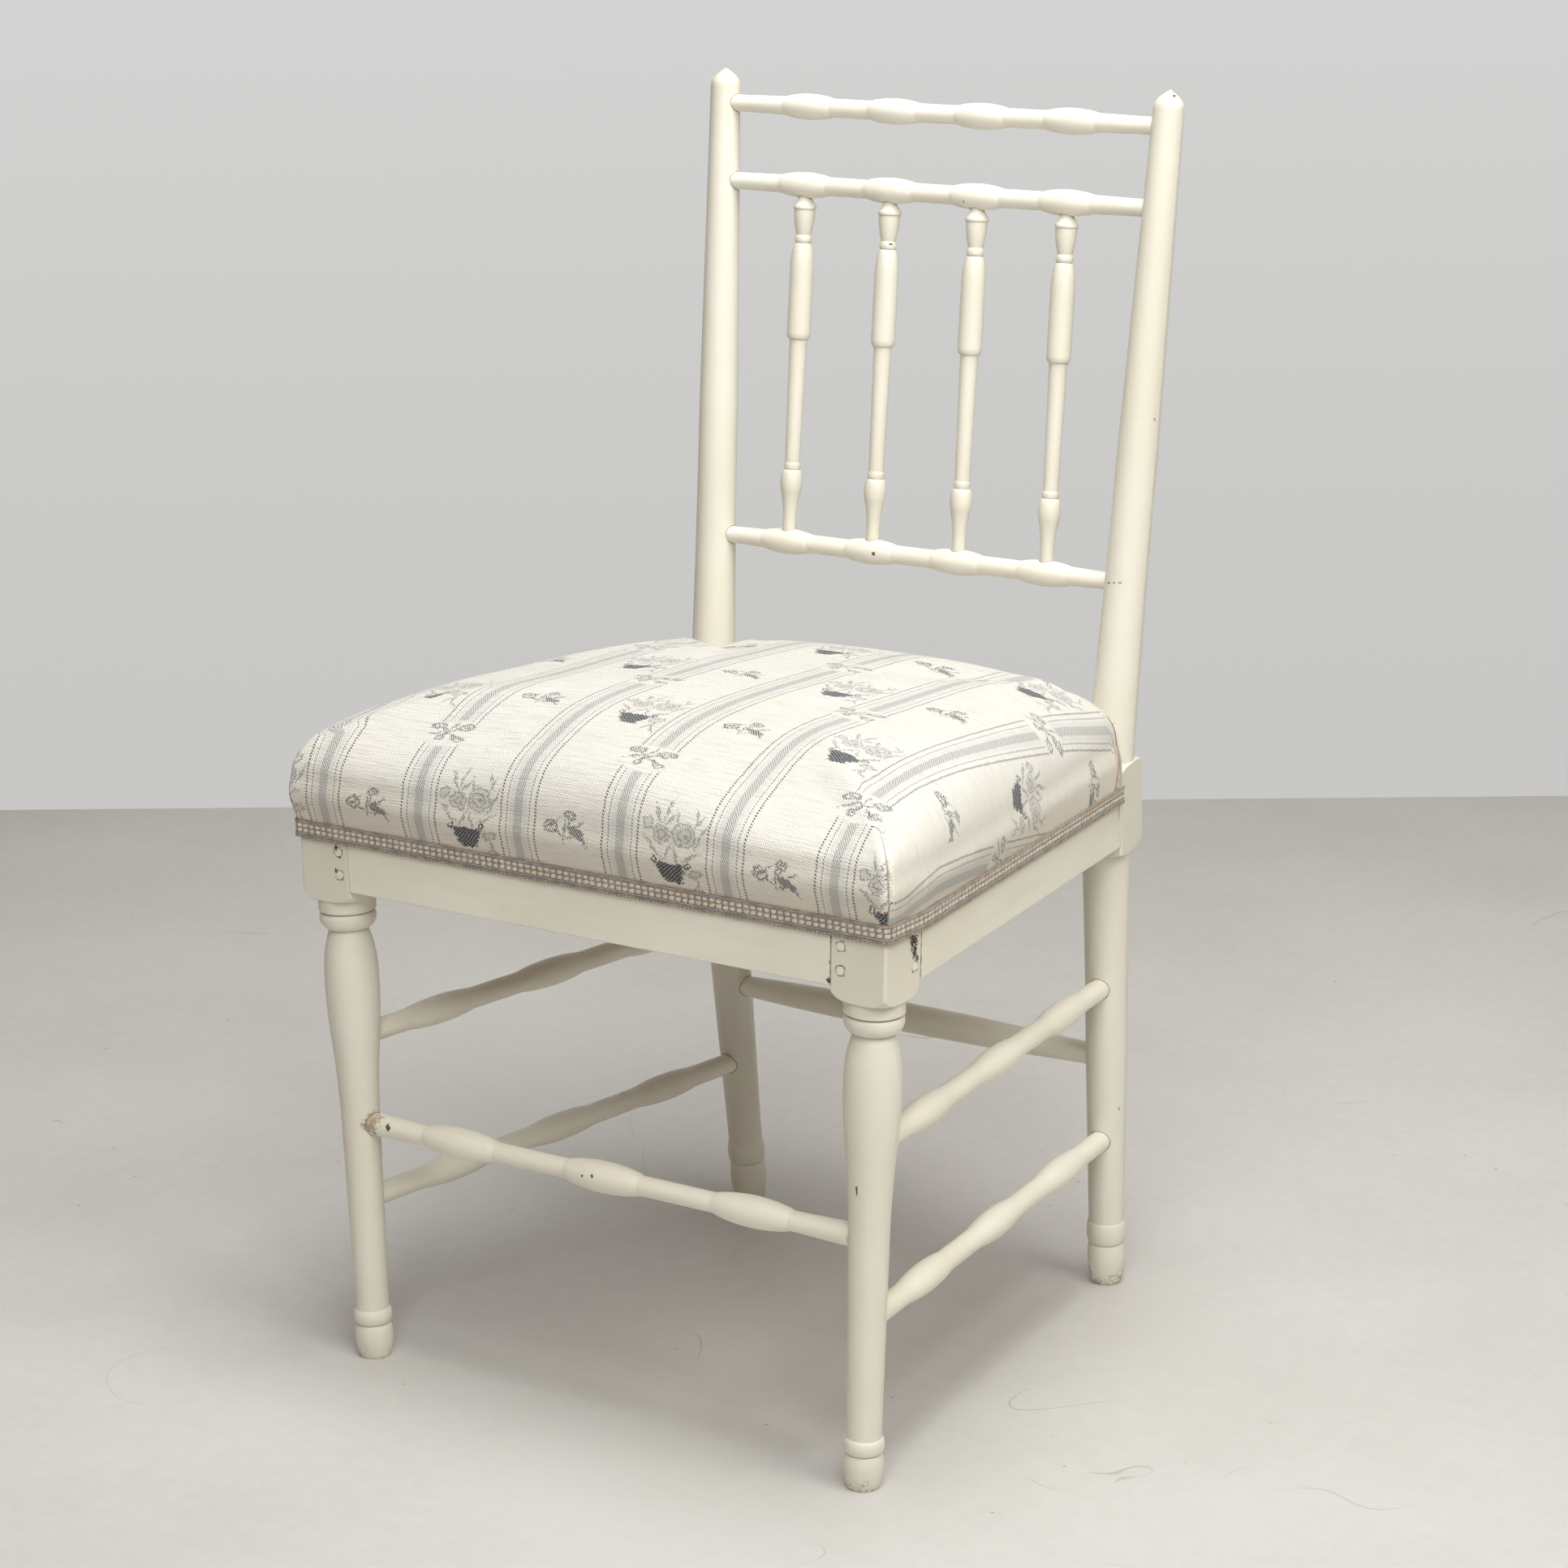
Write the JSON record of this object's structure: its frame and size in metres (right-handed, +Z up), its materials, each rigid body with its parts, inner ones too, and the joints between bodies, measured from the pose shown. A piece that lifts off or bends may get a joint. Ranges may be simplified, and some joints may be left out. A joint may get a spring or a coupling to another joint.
{
  "type": "gustavian dining chair",
  "caption": "Painted wooden dining chair with turned tapering legs, a spindle back with swelled cross rails, turned stretchers and a crowned upholstered seat edged with gimp braid.",
  "frame": {"origin": "On the floor, under the middle of the whole chair's width and depth.", "axes": "+Z up, -Y towards the front of the chair where the sitter's legs go, +X to the right-hand side seen from the front."},
  "size_m": [0.4962, 0.4641, 0.87],
  "materials": {
    "painted_wood": "worn satin cream paint over wood",
    "bare_wood": "bare sawn wood",
    "jute_webbing": "woven jute",
    "hessian": "open plain weave",
    "stuffing": "curled hair and wadding",
    "cover_fabric": "slubbed cream cotton with woven stripes and small flower motifs",
    "gimp_braid": "woven braid with corded edges"
  },
  "bodies": {
    "root": {"front_leg_left": "painted_wood", "front_leg_right": "painted_wood", "back_post_left": "painted_wood", "back_post_right": "painted_wood", "front_rail": "painted_wood", "back_rail": "painted_wood", "side_rail_left": "painted_wood", "side_rail_right": "painted_wood", "crest_rail": "painted_wood", "middle_rail": "painted_wood", "lower_rail": "painted_wood", "spindle_1": "painted_wood", "spindle_2": "painted_wood", "spindle_3": "painted_wood", "spindle_4": "painted_wood", "front_stretcher": "painted_wood", "back_stretcher": "painted_wood", "upper_stretcher_left": "painted_wood", "upper_stretcher_right": "painted_wood", "lower_stretcher_left": "painted_wood", "lower_stretcher_right": "painted_wood", "corner_brace_front_left": "bare_wood", "corner_brace_front_right": "bare_wood", "corner_brace_back_left": "bare_wood", "corner_brace_back_right": "bare_wood", "front_rail_pegs": "painted_wood", "side_rail_pegs": "painted_wood", "webbing_lengthwise": "jute_webbing", "webbing_crosswise": "jute_webbing", "hessian": "hessian", "stuffing": "stuffing", "seat_cover": "cover_fabric", "gimp_braid": "gimp_braid", "gimp_braid_back": "gimp_braid"}
  },
  "joints": []
}
